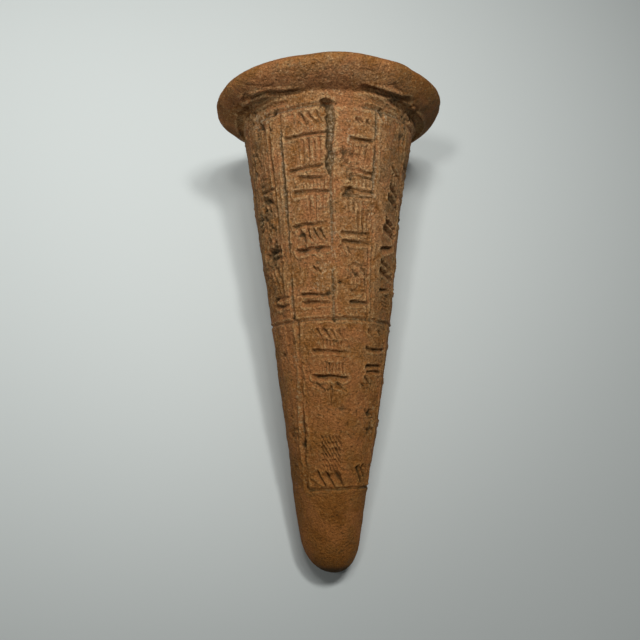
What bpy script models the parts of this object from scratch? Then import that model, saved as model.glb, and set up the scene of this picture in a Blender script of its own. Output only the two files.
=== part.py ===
"""A foundation cone of fired clay: a nail-shaped peg with a rolled, domed head, a long tapering
shaft ruled into columns, and a blunt point. It is one solid piece of clay. It lies as a loose
cone does, on a worn flat of its rim and a worn flat under its point, with its point towards -Y.

The cone's own coordinates are a station, measured along its axis from the point, and an angle
round the axis, measured from the top of the lying cone and growing towards +X.
"""

import math

import bmesh
import bpy
from mathutils import Matrix, Vector

# Lengths along the axis, in metres, from the point to the crown of the head
POINT_ROUNDING = 0.0090
POINT_TO_LOWER_LINE = 0.0213
LOWER_PANEL = 0.0408
UPPER_PANEL = 0.0507
NECK_BAND = 0.0033
ROLL_DEPTH = 0.0048
HEAD_CROWN = 0.0062

# Radii, in metres
POINT_RADIUS = 0.0063
LOWER_LINE_RADIUS = 0.0098
MIDDLE_LINE_RADIUS = 0.0153
WAIST_RADIUS = 0.0185
TOP_LINE_RADIUS = 0.0227
NECK_RADIUS = 0.0237
HEAD_RADIUS = 0.0302

# How far the two worn flats are cut into the rim and the point
RIM_FLAT_DEPTH = 0.0008
POINT_FLAT_DEPTH = 0.0004

# Carving: the ruled lines between columns, the rings round the shaft and the bars across a column
RULING_WIDTH = 0.0013
RULING_DEPTH = 0.0007
RING_WIDTH = 0.0012
RING_DEPTH = 0.0006
BAR_WIDTH = 0.0012
BAR_DEPTH = 0.0005
SPLIT_WIDTH = 0.0028
SPLIT_DEPTH = 0.0009
NOTCH_DEPTH = 0.0009

# Hand-made unevenness
SHAFT_LUMPS = 0.00024
SHAFT_SWAY = 0.00040
POINT_LEAN = 0.00090
RIM_WAVES = 0.00042
RIM_PEAK = 0.00080
HEAD_LEAN = 0.00060
CREASE_DEPTH = 0.00090

# How far the underside of the rolled rim flares, from square to the shaft (0) to a cone (1)
ROLL_FLARE = 0.5

# Stations that follow from the lengths
LOWER_LINE = POINT_TO_LOWER_LINE
MIDDLE_LINE = LOWER_LINE + LOWER_PANEL
TOP_LINE = MIDDLE_LINE + UPPER_PANEL
WAIST = MIDDLE_LINE + UPPER_PANEL / 2
CREASE = TOP_LINE + NECK_BAND
RIM = CREASE + ROLL_DEPTH

# Each ruling's angle in degrees at the top line, just above and just below the middle line and
# at the lower line, and whether it is still cut below the middle line
RULINGS = (
    (-66.0, -72.0, -66.0, -70.0, False),
    (-33.5, -36.0, -28.5, -35.5, True),
    (0.5, 2.5, 5.0, 0.0, False),
    (30.5, 38.0, 38.0, 34.0, False),
    (60.0, 74.5, 70.0, 67.0, True),
    (98.0, 110.0, 110.0, 108.0, False),
    (138.0, 147.0, 147.0, 147.0, True),
    (180.0, 184.0, 184.0, 184.0, False),
    (220.0, 221.0, 221.0, 221.0, False),
    (257.0, 255.0, 257.0, 256.0, False),
)
SPLIT_RULING = 2
SPLIT_REACH = 0.35
FRONT_COLUMNS = (0, 1, 2, 3, 4)
LOWER_LINE_RULINGS = (1, 6)

# Bars as a share of their panel's height, with the columns that each one crosses
UPPER_BARS = (
    (0.125, (0, 1, 2, 3, 4, 6, 8)),
    (0.345, (0, 1, 3, 5, 7)),
    (0.452, (1, 2, 4, 6, 8)),
    (0.610, (0, 1, 2, 3, 4, 7)),
    (0.700, (1, 2, 3, 5, 9)),
    (0.875, (0, 1, 2, 4, 6, 8)),
)
LOWER_BARS = (
    (0.100, (2, 4)),
    (0.655, (1, 2, 3, 4, 5)),
    (0.880, (1, 2, 3, 5)),
)
BAR_START, BAR_END = 0.16, 0.88

# Mesh fineness
POINT_RINGS = 6
ROLL_RINGS = 5
CROWN_RINGS = 7
FRONT_STATIONS = 4
BACK_STATIONS = 2
PLAIN_RING_SPACING = 0.0042

CLAY_COLOUR = (0.235, 0.112, 0.045, 1.0)
CLAY_ROUGHNESS = 0.88


def clear_scene():
    for obj in list(bpy.data.objects):
        bpy.data.objects.remove(obj, do_unlink=True)


def mix(a, b, share):
    return a + (b - a) * share


def curve_through(stations, values, s):
    """A smooth curve through the given values, straight on past its two ends."""
    last = len(stations) - 1
    slopes = [
        (values[min(i + 1, last)] - values[max(i - 1, 0)])
        / (stations[min(i + 1, last)] - stations[max(i - 1, 0)])
        for i in range(last + 1)
    ]
    if s <= stations[0]:
        return values[0] + slopes[0] * (s - stations[0])
    if s >= stations[last]:
        return values[last] + slopes[last] * (s - stations[last])
    i = next(n for n in range(last) if s < stations[n + 1])
    span = stations[i + 1] - stations[i]
    t = (s - stations[i]) / span
    return (
        values[i] * (1 + 2 * t) * (1 - t) ** 2
        + slopes[i] * span * t * (1 - t) ** 2
        + values[i + 1] * t * t * (3 - 2 * t)
        + slopes[i + 1] * span * t * t * (t - 1)
    )


def shaft_radius(s):
    """The turned profile from the point to the crease under the head."""
    taper = curve_through(
        (0.0, LOWER_LINE, MIDDLE_LINE, WAIST, TOP_LINE, CREASE),
        (
            POINT_RADIUS,
            LOWER_LINE_RADIUS,
            MIDDLE_LINE_RADIUS,
            WAIST_RADIUS,
            TOP_LINE_RADIUS,
            NECK_RADIUS,
        ),
        s,
    )
    rounding = min(1.0, max(0.0, s / POINT_ROUNDING))
    return taper * math.sqrt(1 - (1 - rounding) ** 2)


def shaft_lumps(s, angle):
    """How the hand-rolled shaft swells and flattens, in metres."""
    a = math.radians(angle)
    along = s / (MIDDLE_LINE + UPPER_PANEL)
    fade = min(1.0, s / POINT_ROUNDING)
    wave = (
        0.9 * math.sin(2 * a + 5.1 * along + 0.6)
        + 0.6 * math.sin(3 * a - 7.3 * along + 2.1)
        + 0.4 * math.sin(5 * a + 16.0 * along)
    )
    return SHAFT_LUMPS * fade * wave


def sideways(s):
    """How far the middle of the hand-rolled shaft strays towards +X at a station, in metres."""
    along = s / (MIDDLE_LINE + UPPER_PANEL)
    sway = math.sin(2 * math.pi * (along - 0.1) / 1.3) if along > 0.1 else 0.0
    settle = max(0.0, 1 - max(0.0, s - TOP_LINE) / NECK_BAND)
    lean = max(0.0, 1 - s / POINT_ROUNDING)
    return SHAFT_SWAY * sway * settle + POINT_LEAN * lean**2


def rim_waves(angle):
    """How the rolled rim's outline strays from a circle, in metres."""
    a = math.radians(angle)
    waves = 0.25 * math.sin(3 * a + 0.4) + 0.2 * math.sin(7 * a) - math.sin(2 * a + 0.36)
    return RIM_WAVES * waves + RIM_PEAK * math.exp(-((signed(angle) / 17.0) ** 2))


def signed(angle):
    """The same angle between -180 and 180 degrees."""
    return (angle + 180.0) % 360.0 - 180.0


def finger_press(angle):
    """Where fingers pressed the clay in under the head: 1 at a press, 0 on the smooth stretches."""
    away = abs(signed(angle))
    if away > 130:
        return 0.45
    return min(1.0, max(0.0, (away - 10.0) / 12.0)) * (1 - 0.35 * math.sin(math.radians(away)) ** 4)


def ruling_angle(index, s):
    """The angle of a ruling at a station, in degrees, unwrapped so that it grows with index."""
    turns, k = divmod(index, len(RULINGS))
    top, above, below, foot, _ = RULINGS[k]
    if s >= MIDDLE_LINE:
        angle = mix(above, top, min(1.0, (s - MIDDLE_LINE) / UPPER_PANEL))
    else:
        angle = mix(foot, below, max(0.0, (s - LOWER_LINE) / LOWER_PANEL))
    return angle + 360.0 * turns


def is_cut(k, s):
    """Whether ruling k is carved at this station."""
    if s > TOP_LINE or s < LOWER_LINE:
        return False
    return s > MIDDLE_LINE or RULINGS[k][4]


def split_share(k, s):
    """The ruling that split open under the head: 1 where it is widest, 0 elsewhere."""
    if k != SPLIT_RULING or s < MIDDLE_LINE:
        return 0.0
    height = (s - MIDDLE_LINE) / UPPER_PANEL
    return max(0.0, 1 - (1 - height) / SPLIT_REACH) ** 0.5


def columns():
    """The angular stations round the cone as (ruling index, share across the column, place)."""
    made = []
    for k in range(len(RULINGS)):
        made += [(k, 0.0, "edge before"), (k, 0.0, "ruling"), (k, 0.0, "edge after")]
        inside = FRONT_STATIONS if k in FRONT_COLUMNS else BACK_STATIONS
        made += [(k, (n + 1) / (inside + 1), "panel") for n in range(inside)]
    return made


def column_angle(column, s):
    k, share, place = column
    here = ruling_angle(k, s)
    if place == "panel":
        return mix(here, ruling_angle(k + 1, s), share)
    width = mix(RULING_WIDTH, SPLIT_WIDTH, split_share(k, s))
    half = math.degrees(width / 2 / max(shaft_radius(min(s, CREASE)), width))
    return here + {"edge before": -half, "ruling": 0.0, "edge after": half}[place]


def ring_stations():
    """Stations along the shaft as (station, what is carved there)."""
    carved = {}
    for line in (LOWER_LINE, MIDDLE_LINE, TOP_LINE):
        carved[line] = (RING_WIDTH, "ring", ())
    for low, height, bars in (
        (LOWER_LINE, LOWER_PANEL, LOWER_BARS),
        (MIDDLE_LINE, UPPER_PANEL, UPPER_BARS),
    ):
        for share, crossed in bars:
            carved[low + height * share] = (BAR_WIDTH, "bar", crossed)
    made = [
        (POINT_ROUNDING * (1 - math.cos(math.pi / 2 * (n + 1) / POINT_RINGS)), "plain", ())
        for n in range(POINT_RINGS)
    ]
    for s in sorted(carved):
        width, kind, crossed = carved[s]
        before, after = s - width / 2, s + width / 2
        made += plain_rings(made[-1][0], before)
        made += [(before, "plain", ()), (s, kind, crossed), (after, "plain", ())]
    return made + plain_rings(made[-1][0], CREASE) + [(CREASE, "crease", ())]


def plain_rings(start, end):
    """Uncarved rings between two stations, spaced no wider than PLAIN_RING_SPACING."""
    count = max(0, math.ceil((end - start) / PLAIN_RING_SPACING) - 1)
    return [(mix(start, end, (n + 1) / (count + 1)), "plain", ()) for n in range(count)]


def lower_line_reaches(k, share):
    """The lower line is ruled under the inscribed columns only."""
    first, last = LOWER_LINE_RULINGS
    return first <= k + share <= last


def carved_depth(s, kind, crossed, column):
    """How deep the carving is at one point of the grid."""
    k, share, place = column
    depth = 0.0
    if place == "ruling" and is_cut(k, s):
        depth = mix(RULING_DEPTH, SPLIT_DEPTH, split_share(k, s))
    if kind == "ring" and (s > LOWER_LINE or lower_line_reaches(k, share)):
        depth = depth + NOTCH_DEPTH if depth else RING_DEPTH
    if kind == "bar" and k in crossed and place == "panel" and BAR_START < share < BAR_END:
        depth = BAR_DEPTH
    if kind == "crease":
        depth = CREASE_DEPTH * finger_press(column_angle(column, s))
    return depth


def cone_point(s, radius, angle):
    """A point in the cone's own space: the axis along +Y, the top of the lying cone towards +Z."""
    a = math.radians(angle)
    return Vector((radius * math.sin(a) + sideways(s), s, radius * math.cos(a)))


def shaft_rings(around):
    """The carved rings from the point to the crease under the head."""
    rings = []
    for s, kind, crossed in ring_stations():
        ring = []
        for column in around:
            angle = column_angle(column, s)
            radius = shaft_radius(s) + shaft_lumps(s, angle)
            ring.append(cone_point(s, radius - carved_depth(s, kind, crossed, column), angle))
        rings.append(ring)
    return rings


def head_profile():
    """(share of the way out to the rim, station) under the rim, and then over it to the crown."""
    under = []
    for n in range(ROLL_RINGS):
        t = math.pi / 2 * (n + 1) / ROLL_RINGS
        under.append((math.sin(t), CREASE + ROLL_DEPTH * mix(1 - math.cos(t), math.sin(t), ROLL_FLARE)))
    over = []
    for n in range(1, CROWN_RINGS):
        out = math.cos(math.pi / 2 * n / CROWN_RINGS)
        over.append((out, RIM + HEAD_CROWN * math.sqrt(1 - out**2)))
    return under, over


def head_rings(around):
    """The plain rings from above the crease, over the rim, to the crown."""
    under, over = head_profile()
    rings = []
    for out, s in under:
        radius = mix(NECK_RADIUS, HEAD_RADIUS, out)
        rings.append([head_point(radius, s, column, out) for column in around])
    for out, s in over:
        rings.append([head_point(HEAD_RADIUS * out, s, column, out) for column in around])
    return rings


def head_point(radius, s, column, out):
    """A point of the head, whose rim waves and leans the more the further out it is."""
    angle = column_angle(column, CREASE)
    lean = HEAD_LEAN * math.sin(math.radians(angle)) * radius / HEAD_RADIUS
    return cone_point(s + lean, radius + rim_waves(angle) * out, angle)


def build_cone():
    """The closed surface, ring by ring from the point to the crown."""
    mesh = bmesh.new()
    around = columns()
    rings = [[mesh.verts.new(p) for p in ring] for ring in shaft_rings(around) + head_rings(around)]
    for lower, upper in zip(rings, rings[1:]):
        for i in range(len(lower)):
            j = (i + 1) % len(lower)
            mesh.faces.new((lower[i], lower[j], upper[j], upper[i]))
    close_with_fan(mesh, rings[0], cone_point(0.0, 0.0, 0.0))
    close_with_fan(mesh, rings[-1], cone_point(RIM + HEAD_CROWN, 0.0, 0.0))
    bmesh.ops.recalc_face_normals(mesh, faces=mesh.faces)
    return mesh


def close_with_fan(mesh, ring, centre):
    pole = mesh.verts.new(centre)
    for i in range(len(ring)):
        mesh.faces.new((ring[i], ring[(i + 1) % len(ring)], pole))


def lowest(tilt, points):
    return min(p.y * math.sin(tilt) + p.z * math.cos(tilt) for p in points)


def resting_tilt(points):
    """The tilt that brings both worn flats down to one level, found by halving."""
    head = [p for p in points if p.y > CREASE]
    point = [p for p in points if p.y < LOWER_LINE]
    low, high = 0.0, math.radians(60)
    for _ in range(40):
        tilt = (low + high) / 2
        gap = lowest(tilt, head) + RIM_FLAT_DEPTH - lowest(tilt, point) - POINT_FLAT_DEPTH
        low, high = (tilt, high) if gap < 0 else (low, tilt)
    return tilt


def lay_down(mesh):
    """Tilts the cone onto its rim and point, cuts the two flats and centres it over the origin."""
    tilt = resting_tilt([v.co for v in mesh.verts])
    bmesh.ops.transform(mesh, verts=mesh.verts, matrix=Matrix.Rotation(tilt, 4, "X"))
    floor = min(v.co.z for v in mesh.verts if v.co.y > TOP_LINE) + RIM_FLAT_DEPTH
    cut = bmesh.ops.bisect_plane(
        mesh,
        geom=mesh.verts[:] + mesh.edges[:] + mesh.faces[:],
        dist=1e-7,
        plane_co=(0.0, 0.0, floor),
        plane_no=(0.0, 0.0, -1.0),
        clear_outer=True,
    )
    edges = [e for e in cut["geom_cut"] if isinstance(e, bmesh.types.BMEdge)]
    bmesh.ops.holes_fill(mesh, edges=edges)
    spread = [[v.co[axis] for v in mesh.verts] for axis in range(3)]
    shift = Vector([-(min(c) + max(c)) / 2 for c in spread[:2]] + [-floor])
    bmesh.ops.translate(mesh, verts=mesh.verts, vec=shift)


def clay_material():
    material = bpy.data.materials.new("fired_clay")
    material.use_nodes = True
    shader = material.node_tree.nodes["Principled BSDF"]
    shader.inputs["Base Color"].default_value = CLAY_COLOUR
    shader.inputs["Roughness"].default_value = CLAY_ROUGHNESS
    shader.inputs["Metallic"].default_value = 0.0
    return material


def main():
    clear_scene()
    mesh = build_cone()
    lay_down(mesh)
    data = bpy.data.meshes.new("clay_cone")
    mesh.to_mesh(data)
    mesh.free()
    data.shade_smooth()
    data.set_sharp_from_angle(angle=math.radians(40))
    cone = bpy.data.objects.new("clay_cone", data)
    cone.data.materials.append(clay_material())
    bpy.context.scene.collection.objects.link(cone)


main()
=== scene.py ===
# %% [markdown]
# # A foundation cone of fired clay
# The real object is a peg of clay, rolled by hand between the palms, with its head pressed out
# into a rolled and slightly domed rim. Rulings divide the shaft into columns, and rows of strokes
# were pressed into the damp clay before it was fired. This file dresses the plain solid of the
# cone: it adds the worn surface, the strokes and the colour of old clay.
#
# First the solid is loaded.

# %% Load the solid that this surface belongs to
import math
from functools import partial

import bpy
import numpy as np
from mathutils import Matrix, Vector


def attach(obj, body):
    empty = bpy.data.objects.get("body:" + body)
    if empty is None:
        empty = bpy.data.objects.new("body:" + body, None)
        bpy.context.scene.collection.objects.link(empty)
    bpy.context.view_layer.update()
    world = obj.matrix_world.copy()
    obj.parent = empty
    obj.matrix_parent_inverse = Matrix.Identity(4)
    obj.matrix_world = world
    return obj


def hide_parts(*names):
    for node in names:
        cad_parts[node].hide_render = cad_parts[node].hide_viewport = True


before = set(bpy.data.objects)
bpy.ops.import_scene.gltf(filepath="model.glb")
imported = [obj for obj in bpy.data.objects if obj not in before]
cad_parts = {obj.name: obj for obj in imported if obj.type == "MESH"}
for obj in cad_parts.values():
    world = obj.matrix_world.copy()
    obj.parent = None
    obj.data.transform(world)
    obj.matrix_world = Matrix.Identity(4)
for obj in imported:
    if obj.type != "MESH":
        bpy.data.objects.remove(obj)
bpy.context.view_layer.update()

# %% [markdown]
# ## The turned profile
# A cone like this is close to a body of revolution, so it could be made with the Screw modifier.
# Here it is worked out as numbers, because the carving needs to know the station along the axis
# and the angle round it for every point. All lengths are in millimetres until the mesh is made.
# The angle is measured from the top of the lying cone and grows to the right.

# %% Measure of the profile
# where the round point ends, and how blunt it is: 2 would be an ellipse
POINT_ROUNDING, POINT_BLUNTNESS = 9.0, 2.4
# stations along the axis, from the point to the middle of the head's face
LOWER_LINE = 21.3
MIDDLE_LINE = LOWER_LINE + 40.8
TOP_LINE = MIDDLE_LINE + 50.7
CREASE = TOP_LINE + 3.3
RIM = CREASE + 4.8
CROWN = RIM + 6.2
NECK_RADIUS, HEAD_RADIUS = 23.7, 30.2
KNOT_STATIONS = (0.0, LOWER_LINE, MIDDLE_LINE, (MIDDLE_LINE + TOP_LINE) / 2, TOP_LINE, CREASE)
KNOT_RADII = (6.3, 9.8, 15.3, 18.5, 22.7, NECK_RADIUS)
print("the cone is", round(CROWN, 1), "mm long and", 2 * HEAD_RADIUS, "mm across its head")

# %% [markdown]
# The profile is one line. It swells smoothly through six knots from the point to the crease under
# the head, and the round point, the roll of the rim and the crown are arcs. A few knots are
# easier to change than a drawn line with many points.


# %% The outline
def smooth_curve(stations, values, s):
    """A smooth curve through the knots, with slopes taken from each knot's neighbours."""
    stations, values = np.asarray(stations), np.asarray(values)
    slopes = np.empty(len(values))
    slopes[1:-1] = (values[2:] - values[:-2]) / (stations[2:] - stations[:-2])
    slopes[0] = (values[1] - values[0]) / (stations[1] - stations[0])
    slopes[-1] = (values[-1] - values[-2]) / (stations[-1] - stations[-2])
    i = np.clip(np.searchsorted(stations, s, side="right") - 1, 0, len(stations) - 2)
    span = stations[i + 1] - stations[i]
    t = (s - stations[i]) / span
    return (
        values[i] * (1 + 2 * t) * (1 - t) ** 2
        + slopes[i] * span * t * (1 - t) ** 2
        + values[i + 1] * t * t * (3 - 2 * t)
        + slopes[i + 1] * span * t * t * (t - 1)
    )


POINT_STEPS, SHAFT_STEPS, ROLL_STEPS = 60, 600, 120


def outline_points():
    """The outline as stations and radii: the rounded point, the shaft, the roll and the crown."""
    tip = POINT_ROUNDING * (1 - np.cos(np.linspace(0, math.pi / 2, POINT_STEPS)))
    s = np.concatenate([tip, np.linspace(POINT_ROUNDING, CREASE, SHAFT_STEPS)[1:]])
    r = smooth_curve(KNOT_STATIONS, KNOT_RADII, s)
    r = r * (1 - (1 - np.clip(s / POINT_ROUNDING, 0, 1)) ** POINT_BLUNTNESS) ** (1 / POINT_BLUNTNESS)
    t = np.linspace(0, math.pi / 2, ROLL_STEPS)[1:]
    roll_s = CREASE + (RIM - CREASE) * (1 - np.cos(t) + np.sin(t)) / 2
    roll_r = NECK_RADIUS + (HEAD_RADIUS - NECK_RADIUS) * np.sin(t)
    crown_s = RIM + (CROWN - RIM) * np.sin(t)
    crown_r = HEAD_RADIUS * np.cos(t)
    return np.concatenate([s, roll_s, crown_s]), np.concatenate([r, roll_r, crown_r])


outline_s, outline_r = outline_points()
outline_arc = np.concatenate([[0], np.cumsum(np.hypot(np.diff(outline_s), np.diff(outline_r)))])
print("the outline is", round(outline_arc[-1], 1), "mm long from point to crown")

# %% [markdown]
# ## A fine grid over the whole cone
# The relief lives on a grid of rings and columns, like a knitted sleeve. Rings lie close together
# on the shaft, where the strokes are, and further apart on the plain crown. The grid is much
# finer than the final mesh: Blender's Decimate modifier thins it later and keeps the small faces
# where the carving needs them. Sculpting by hand would give the same surface, but numbers can be
# changed and run again.

# %% Rings and columns
RING_STEP, CROWN_STEP, TURN_STEP = ((0.17, 0.34, 0.45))
rim_arc = float(np.interp(RIM, outline_s, outline_arc))
ARC = np.concatenate(
    [np.arange(0.1, rim_arc, RING_STEP), np.arange(rim_arc, outline_arc[-1] - 0.2, CROWN_STEP)]
)
STATION = np.interp(ARC, outline_arc, outline_s)
RADIUS = np.interp(ARC, outline_arc, outline_r)
TURN = np.arange(-180.0, 180.0, TURN_STEP)
slope_s = np.gradient(STATION, ARC)
slope_r = np.gradient(RADIUS, ARC)
OUT_S, OUT_R = -slope_r / np.hypot(slope_s, slope_r), slope_s / np.hypot(slope_s, slope_r)
print(len(ARC), "rings by", len(TURN), "columns")


# the outline's points from the point of the cone to its widest ring
TO_RIM = len(outline_s) - (ROLL_STEPS - 1)


def arc_at(s):
    """The arc length at a station of the shaft."""
    return np.interp(s, outline_s[:TO_RIM], outline_arc[:TO_RIM])


def turned(angle):
    """The same angle, between -180 and 180 degrees."""
    return (angle + 180.0) % 360.0 - 180.0


def ease(low, high, x):
    """0 below low, 1 above high, and smooth between them."""
    t = np.clip((x - low) / (high - low), 0, 1)
    return t * t * (3 - 2 * t)


# %% [markdown]
# ## Randomness that stays put
# Clay is uneven at every size, from the swell left by a palm down to grains of sand. A table of
# random numbers, read smoothly in three dimensions, gives bumps of any size. Because it is read
# in space, it has no seam and isn't stretched where the cone is thin, as a flat picture would be.

# %% Noise in space
# how many numbers the table has each way, and a shift that keeps the axis off its cells' corners
TABLE_SIZE, OFF_THE_CORNERS = 41, 7.3
turn_grid = np.radians(TURN)[None, :]
ROUND_SPACE = np.stack(
    [
        RADIUS[:, None] * np.sin(turn_grid),
        np.broadcast_to(STATION[:, None], (len(ARC), len(TURN))),
        RADIUS[:, None] * np.cos(turn_grid),
    ],
    axis=-1,
).astype(np.float32)


def clay_noise(size, seed, stretch=1.0):
    """Smooth random values from -1 to 1, with bumps of that size in mm, drawn out along the cone."""
    table = np.random.default_rng(seed).uniform(-1, 1, (TABLE_SIZE,) * 3).astype(np.float32)
    spot = ROUND_SPACE / np.array([size, size * stretch, size], np.float32) + OFF_THE_CORNERS
    cell = np.floor(spot).astype(np.int32)
    f = spot - cell
    f = f * f * (3 - 2 * f)
    value = np.zeros(cell.shape[:2], np.float32)
    for dx in (0, 1):
        for dy in (0, 1):
            for dz in (0, 1):
                share = (
                    (f[..., 0] if dx else 1 - f[..., 0])
                    * (f[..., 1] if dy else 1 - f[..., 1])
                    * (f[..., 2] if dz else 1 - f[..., 2])
                )
                corner = (cell + np.array([dx, dy, dz], np.int32)) % TABLE_SIZE
                value += share * table[corner[..., 0], corner[..., 1], corner[..., 2]]
    return value


palm = clay_noise(11.0, 1, 2.0)
knuckle = clay_noise(4.5, 2, 1.6)
crumb = clay_noise(1.9, 3)
grit = clay_noise(0.95, 4)
sand = clay_noise(0.55, 5)
drag = clay_noise(0.9, 6, 7.0)
low, high = float(palm.min()), float(palm.max())
print("six sizes of unevenness, the largest from", round(low, 2), "to", round(high, 2))

# %% [markdown]
# ## Pressing a stroke
# A reed with a square end leaves a wedge: wide and deep where it enters, thin where it leaves,
# steep on one side, with a little clay pushed up around it. Each stroke is cut into the grid at
# its own small window. The grid's places are first nudged by noise, so no edge is quite straight.

# %% The reed's stroke
WOBBLY_ARC = ARC[:, None] + 0.15 * crumb + 0.28 * knuckle + 0.10 * grit + 0.07 * sand
nudge = 0.14 * grit[::-1] + 0.15 * crumb[::-1] + 0.10 * sand[::-1]
WOBBLY_TURN = TURN[None, :] + np.degrees(nudge / np.maximum(RADIUS, 4)[:, None])
cut = np.zeros((len(ARC), len(TURN)), np.float32)
lip = np.zeros_like(cut)
# painted shade where corners are too narrow for the mesh to hold their own shadow
nook_shade = np.zeros_like(cut)


def window(arc, angle, reach):
    """The part of the grid within reach of a place on the outline, and the radius there."""
    r = float(np.interp(arc, ARC, RADIUS))
    rings = np.flatnonzero(np.abs(ARC - arc) < reach)
    across = np.flatnonzero(np.abs(turned(TURN - angle)) < math.degrees(reach / r))
    return np.ix_(rings, across), r


def darken(spot, off, wide, there):
    """The dark line in a stroke's corner: painted shade, with the dirt that stays there."""
    line = np.clip(1 - np.abs(off + 0.06 * wide) / (0.09 + 0.12 * wide), 0, 1)
    nook_shade[spot] = np.maximum(nook_shade[spot], line * there * np.clip(0.85 + 0.8 * crumb[spot], 0, 1))


def press(start, end, wide, deep, tail=0.45, steep=0.25, pushed=0.55):
    """One wedge from start to end, both given as (station, angle)."""
    middle = arc_at((start[0] + end[0]) / 2)
    turning = turned(end[1] - start[1])
    r = float(np.interp(middle, ARC, RADIUS))
    run_s, run_a = end[0] - start[0], math.radians(turning) * r
    length = max(math.hypot(run_s, run_a), 0.05)
    spot, r = window(middle, start[1] + turning / 2, length / 2 + wide * 1.6)
    from_s = WOBBLY_ARC[spot] - arc_at(start[0])
    from_a = np.radians(turned(WOBBLY_TURN[spot] - start[1])) * r
    along = (from_s * run_s + from_a * run_a) / length
    off = (from_a * run_s - from_s * run_a) / length
    share = np.clip(along / length, 0, 1)
    beyond = np.abs(along - share * length)
    thinning = 1 - (1 - tail) * share
    half = wide * thinning * np.where(off < 0, steep, 1 - steep)
    inside = 1 - np.hypot(off / half, beyond / (wide * 0.45))
    power = np.where(off < 0, 0.55, 0.95)
    depth = deep * thinning * np.clip(inside, 0, 1) ** power * (1 + 0.3 * crumb[spot])
    cut[spot] = np.minimum(cut[spot], -depth)
    darken(spot, off, wide, np.clip(inside * 3, 0, 1) * min(deep / 0.62, 1))
    lip[spot] = np.maximum(lip[spot], pushed * deep * np.clip(1 - np.abs(inside + 0.35) / 0.35, 0, 1))


print("the grid's places are nudged by up to", round(float(np.abs(nudge).max()), 2), "mm")

# %% [markdown]
# ## Rulings and rings
# Before writing, the scribe ruled the shaft: long lines that part it into columns, a ring under
# the neck, one at half height and one above the point. They fan out with the taper. One ruling
# split open under the head as the clay dried, and old dirt fills it.

# %% Where the rulings run
# each ruling: its angle at the top line, above and below the middle line and at the lower line,
# and whether it is cut below the middle line too
RULINGS = (
    (-66.0, -72.0, -66.0, -70.0, False),
    (-33.5, -36.0, -32.0, -38.5, True),
    (0.5, 2.5, 5.0, 0.0, False),
    (30.5, 38.0, 38.0, 34.0, False),
    (60.0, 74.5, 67.0, 63.0, True),
    (98.0, 110.0, 110.0, 108.0, False),
    (138.0, 147.0, 147.0, 147.0, True),
    (180.0, 184.0, 184.0, 184.0, False),
    (220.0, 221.0, 221.0, 221.0, False),
    (257.0, 255.0, 257.0, 256.0, False),
)
LEFT_RULING, SPLIT_RULING, RIGHT_RULING = 1, 2, 3
dirt = np.zeros_like(cut)
upper_height = np.clip((STATION - MIDDLE_LINE) / (TOP_LINE - MIDDLE_LINE), 0, 1)
lower_height = np.clip((STATION - LOWER_LINE) / (MIDDLE_LINE - LOWER_LINE), 0, 1)


def ruling_line(k):
    """The angle of ruling k at every ring."""
    turns, k = divmod(k, len(RULINGS))
    top, above, below, foot, _ = RULINGS[k]
    upper = above + (top - above) * upper_height
    lower = foot + (below - foot) * lower_height
    return np.where(STATION >= MIDDLE_LINE, upper, lower) + 360.0 * turns


print(sum(ruling[4] for ruling in RULINGS), "of", len(RULINGS), "rulings go on below the middle ring")

# %% [markdown]
# A ruling is a long groove with one steeper side and clay raised beside it, worn thin in places.
# The one that split has a rough floor instead. Both are cut into the whole grid at once, by how
# far each place lies from the line. The three in front are cut in stretches of their own depth.


# %% Cut the rulings
def rule(angles, low, high, wide, deep, ridge=0.55, steep=0.42, dark=1.0):
    """A long groove at the given angle on each ring, between two stations, with raised sides."""
    off = np.radians(turned(WOBBLY_TURN - angles[:, None])) * RADIUS[:, None]
    there = ease(low - 0.4, low + 0.2, STATION) * (1 - ease(high - 0.2, high + 0.4, STATION))
    half = wide * (1 + 0.35 * knuckle + 0.25 * grit) * np.where(off < 0, steep, 1 - steep)
    inside = 1 - np.abs(off) / half
    worn = np.clip(0.85 + 0.9 * knuckle + 0.5 * crumb, 0.1, 1.3) * there[:, None]
    depth = deep * worn * np.clip(inside, 0, 1) ** 0.8
    np.minimum(cut, -depth, out=cut)
    raised = ridge * deep * np.clip(1 - np.abs(inside + 0.7) / 0.7, 0, 1) * worn
    np.maximum(lip, raised, out=lip)
    # painted shade along the groove, as strong as dark asks
    line = np.clip(1 - np.abs(off) / 0.26, 0, 1) * np.clip(worn, 0, 1) * np.clip(0.6 + grit, 0, 1)
    np.maximum(nook_shade, dark * line * min(deep / 0.6, 1), out=nook_shade)
    return np.clip(inside + 0.3, 0, 1) * np.clip(worn, 0, 1)


def split_open(angles, low, high):
    """A ruling that cracked open: a channel with a rough floor, and painted shade on one wall and in
    spots of its floor.
    """
    off = np.radians(turned(WOBBLY_TURN - angles[:, None])) * RADIUS[:, None] + 0.1
    half = 1.45 * ease(low, low + 5, STATION)[:, None] * (1 + 0.30 * knuckle + 0.30 * grit)
    half = half * (STATION < high)[:, None]
    inside = ease(0.0, 0.45, half - np.abs(off))
    rough_floor = 0.75 + 0.30 * grit + 0.25 * sand - 0.2 * off
    np.minimum(cut, -rough_floor * inside, out=cut)
    wall = np.clip(1 - np.abs(off + half - 0.25) / 0.45, 0, 1) * (half > 0.3)
    np.maximum(nook_shade, 0.9 * wall, out=nook_shade)
    np.maximum(nook_shade, 0.8 * inside * np.clip(-2.2 * grit - 0.3, 0, 1), out=nook_shade)
    return inside


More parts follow.
